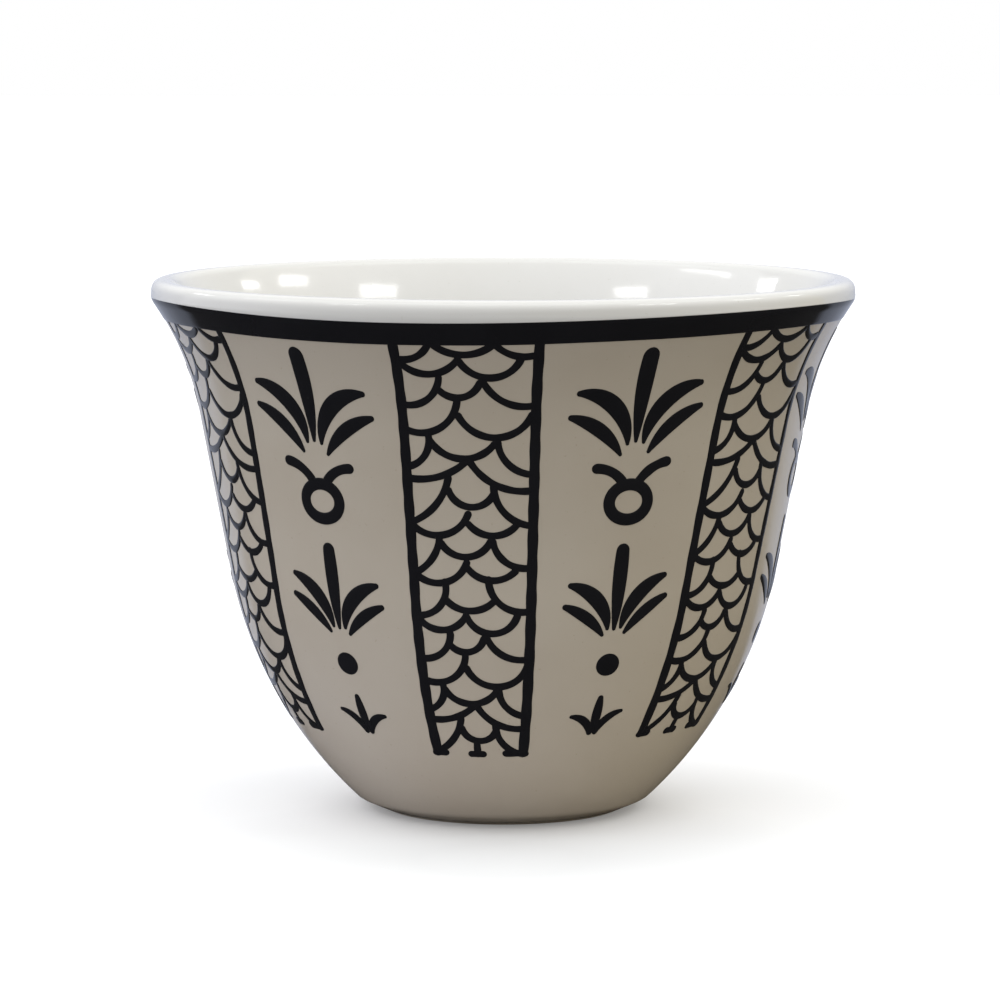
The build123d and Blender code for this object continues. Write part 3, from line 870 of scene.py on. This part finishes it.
def new_floor():
    """A flat square. Its colour differs for the camera, the glaze's reflections and soft light; for the
    camera a painted shadow darkens it before the foot.
    """
    mesh = bpy.data.meshes.new("floor")
    corners = [(x * FLOOR_SIZE, y * FLOOR_SIZE, 0.0) for x, y in ((-1, -1), (1, -1), (1, 1), (-1, 1))]
    mesh.from_pydata(corners, [], [(0, 1, 2, 3)])
    floor = bpy.data.objects.new("floor", mesh)
    bpy.context.scene.collection.objects.link(floor)
    finish, shader, add, links = new_finish("floor_white")
    place = add("ShaderNodeTexCoord").outputs["Object"]
    mask, _ = behind_cup(add, place, BACKDROP_EDGE)
    from_middle = add("ShaderNodeVectorMath", {0: place, 1: MIRROR_MIDDLE}, operation="SUBTRACT")
    mirror_mask, _ = behind_cup(add, from_middle.outputs["Vector"], MIRROR_EDGE)
    path = add("ShaderNodeLightPath")
    seen, mirrored_ray = path.outputs["Is Camera Ray"], path.outputs["Is Glossy Ray"]
    away = add("ShaderNodeVectorMath", {0: place}, operation="LENGTH").outputs["Value"]
    far = add("ShaderNodeMapRange", {
        "Value": away, "From Min": FLOOR_REACH_NEAR[0], "From Max": FLOOR_REACH_NEAR[1],
    }).outputs["Result"]
    around = ramp(add, mask, 0.0, 1.0, (FLOOR_FAR,) * 3, (FLOOR_BEHIND,) * 3)
    sideways = add("ShaderNodeMapRange", {
        "Value": add("ShaderNodeSeparateXYZ", {"Vector": place}).outputs["X"],
        "From Min": -FLOOR_REACH_NEAR[0], "From Max": FLOOR_REACH_NEAR[0],
    }).outputs["Result"]
    near = ramp(add, sideways, 0.0, 1.0, FLOOR_NEAR_LEFT, FLOOR_NEAR_RIGHT)
    soft = add("ShaderNodeMix", {"Factor": far, "A": near, "B": around}, data_type="RGBA")
    mirror = ramp(add, mirror_mask, 0.0, 1.0, (MIRROR_FRONT,) * 3, MIRROR_BEHIND)
    lit = add("ShaderNodeMix", {
        "Factor": mirrored_ray, "A": soft.outputs["Result"], "B": mirror,
    }, data_type="RGBA")
    # For the camera alone, a painted shadow darkens the floor around a place before the foot
    off_shadow_middle = add("ShaderNodeVectorMath", {0: place, 1: PAINTED_SHADOW_MIDDLE}, operation="DISTANCE")
    out_of_painted_shadow = add("ShaderNodeMapRange", {
        "Value": off_shadow_middle.outputs["Value"],
        "From Min": PAINTED_SHADOW_REACH[0], "From Max": PAINTED_SHADOW_REACH[1],
    }).outputs["Result"]
    floor_with_painted_shadow = ramp(add, out_of_painted_shadow, 0.0, 1.0, FLOOR_PAINTED_SHADOW, FLOOR_SEEN_FAR)
    shown = add("ShaderNodeMix", {
        "Factor": seen, "A": lit.outputs["Result"], "B": floor_with_painted_shadow,
    }, data_type="RGBA")
    links.new(shown.outputs["Result"], shader.inputs["Base Color"])
    shader.inputs["Roughness"].default_value = FLOOR_ROUGHNESS
    shader.inputs["Specular IOR Level"].default_value = 0.0
    glow = add("ShaderNodeMath", {0: seen, 1: GLOW}, operation="MULTIPLY").outputs["Value"]
    links.new(glow, shader.inputs["Emission Strength"])
    shader.inputs["Emission Color"].default_value = (*WHITE, 1.0)
    mesh.materials.append(finish)


def surroundings():
    """World light by direction: white behind the cup, cooler on its left and warmer on its right."""
    world = bpy.data.worlds.new("surroundings")
    bpy.context.scene.world = world
    world.use_nodes = True
    add, links = node_tools(world.node_tree)
    sky = world.node_tree.nodes["Background"]
    way = add("ShaderNodeTexCoord").outputs["Generated"]
    mask, rightward = behind_cup(add, way, BACKDROP_EDGE)
    sideways = add("ShaderNodeMapRange", {"Value": rightward, "From Min": -1.0, "From Max": 1.0})
    low = ramp(add, sideways.outputs["Result"], *ROOM_TURN, ROOM_LEFT, ROOM_RIGHT)
    parts = add("ShaderNodeSeparateXYZ", {"Vector": way})
    rise = parts.outputs["Z"]
    room = add("ShaderNodeMix", {"Factor": rise, "A": low, "B": (*ROOM_HIGH, 1.0)}, data_type="RGBA")
    from_front = add("ShaderNodeMapRange", {
        "Value": parts.outputs["Y"], "From Min": -1.0, "From Max": 0.0,
    })
    dimmed = ramp(add, from_front.outputs["Result"], 0.0, 1.0, (ROOM_FRONT,) * 3, WHITE)
    room = add("ShaderNodeMix", {
        "Factor": 1.0, "A": room.outputs["Result"], "B": dimmed,
    }, data_type="RGBA", blend_type="MULTIPLY").outputs["Result"]
    backdrop = ramp(add, rise, *BACK_RISE, BACK_LOW, BACK_HIGH)
    light = add("ShaderNodeMix", {"Factor": mask, "A": room, "B": backdrop}, data_type="RGBA")
    seen = add("ShaderNodeLightPath").outputs["Is Camera Ray"]
    shown = add("ShaderNodeMix", {
        "Factor": seen, "A": light.outputs["Result"], "B": (*WHITE, 1.0),
    }, data_type="RGBA")
    links.new(shown.outputs["Result"], sky.inputs["Color"])


LAMP_DISTANCE = 0.9


def softbox(name, way, width, depth, turn, radiance):
    """A rectangular lamp in a direction from the cup's mouth, facing it and turned on its own axis."""
    data = bpy.data.lights.new(name, "AREA")
    data.shape = "RECTANGLE"
    data.size, data.size_y = width, depth
    data.energy = radiance * pi * width * depth
    lamp = bpy.data.objects.new(name, data)
    way = Vector(way).normalized()
    lamp.location = Vector((0.0, 0.0, HEIGHT * MM)) + way * LAMP_DISTANCE
    facing = way.to_track_quat("Z", "Y") @ Quaternion((0.0, 0.0, 1.0), radians(turn))
    lamp.rotation_euler = facing.to_euler()
    bpy.context.scene.collection.objects.link(lamp)


# Name, direction from the cup's mouth, width and depth, turn in degrees, and radiance
LAMPS = [
    ("lamp_right_front", (0.599, -0.302, 0.742), 0.197, 0.085, -16.0, 9.0),
    ("lamp_right", (0.737, 0.199, 0.646), 0.169, 0.050, -26.0, 9.0),
    ("lamp_right_back", (0.705, 0.493, 0.510), 0.120, 0.030, -27.0, 9.0),
    ("lamp_left_front", (-0.615, -0.291, 0.733), 0.175, 0.065, 16.0, 9.0),
    ("lamp_left_back", (-0.668, 0.577, 0.470), 0.140, 0.045, 28.0, 9.0),
    ("lamp_left_high", (-0.695, 0.180, 0.696), 0.280, 0.025, 36.0, 6.0),
]

new_floor()
surroundings()
for lamp in LAMPS:
    softbox(*lamp)

# The camera stands where the photograph's ellipses put it
CAMERA_PLACE = (-0.000315, -0.450, 0.081695)
CAMERA_PITCH = 6.457
CAMERA_LENS = 162.73
CAMERA_SENSOR = 36.0
CAMERA_CLIP = 0.01
lens = bpy.data.cameras.new("camera")
lens.sensor_width = CAMERA_SENSOR
lens.lens = CAMERA_LENS
lens.clip_start = CAMERA_CLIP
camera = bpy.data.objects.new("camera", lens)
camera.location = CAMERA_PLACE
camera.rotation_euler = (radians(90.0 - CAMERA_PITCH), 0.0, 0.0)
bpy.context.scene.collection.objects.link(camera)
bpy.context.scene.camera = camera
bpy.context.scene.view_settings.view_transform = "Standard"
